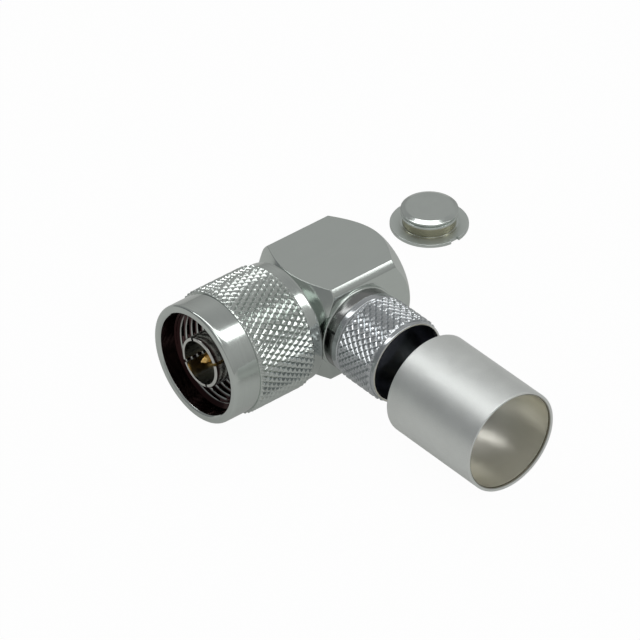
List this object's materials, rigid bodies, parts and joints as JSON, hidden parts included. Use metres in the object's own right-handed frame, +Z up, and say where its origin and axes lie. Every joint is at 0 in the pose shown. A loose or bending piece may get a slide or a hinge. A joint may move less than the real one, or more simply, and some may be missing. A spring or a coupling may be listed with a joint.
{
  "type": "right-angle coaxial crimp plug",
  "caption": "Right-angle coaxial plug with a knurled coupling nut, square body and knurled crimp post, its loose crimp ferrule and access cap beside it.",
  "frame": {"origin": "middle of the mating plane, at the front of the outer contact, on the coupling nut's axis", "axes": "-Y out of the coupling nut, +X out of the cable post, +Z up; the nut, the ferrule and the cap lie on z = -10 mm"},
  "size_m": [0.0631, 0.0648, 0.02],
  "materials": {
    "nickel_body": "nickel plate, bright satin",
    "nickel_contact": "nickel plate, bright",
    "ptfe": "matt white",
    "gold": "gold plate",
    "silicone": "matt",
    "nickel_nut": "nickel plate, bright",
    "spring_bronze": "plain",
    "nickel_dark": "nickel plate, dull",
    "nickel_post": "nickel plate, bright",
    "nickel_satin": "nickel plate, satin",
    "nickel_cap": "nickel plate, bright"
  },
  "bodies": {
    "plug": {"body": "nickel_body", "outer_contact": "nickel_contact", "insulator": "ptfe", "centre_contact": "gold", "seal": "silicone", "snap_ring": "spring_bronze", "lock_ring": "nickel_dark", "crimp_post": "nickel_post", "crimp_ferrule": "nickel_satin", "access_cap": "nickel_cap"},
    "nut": {"coupling_nut": "nickel_nut"}
  },
  "joints": [
    {"name": "nut_turn", "type": "hinge", "parent": "plug", "child": "nut", "pos_m": [0, 0.0138, 0], "axis": [0, 1, 0], "continuous": true}
  ]
}
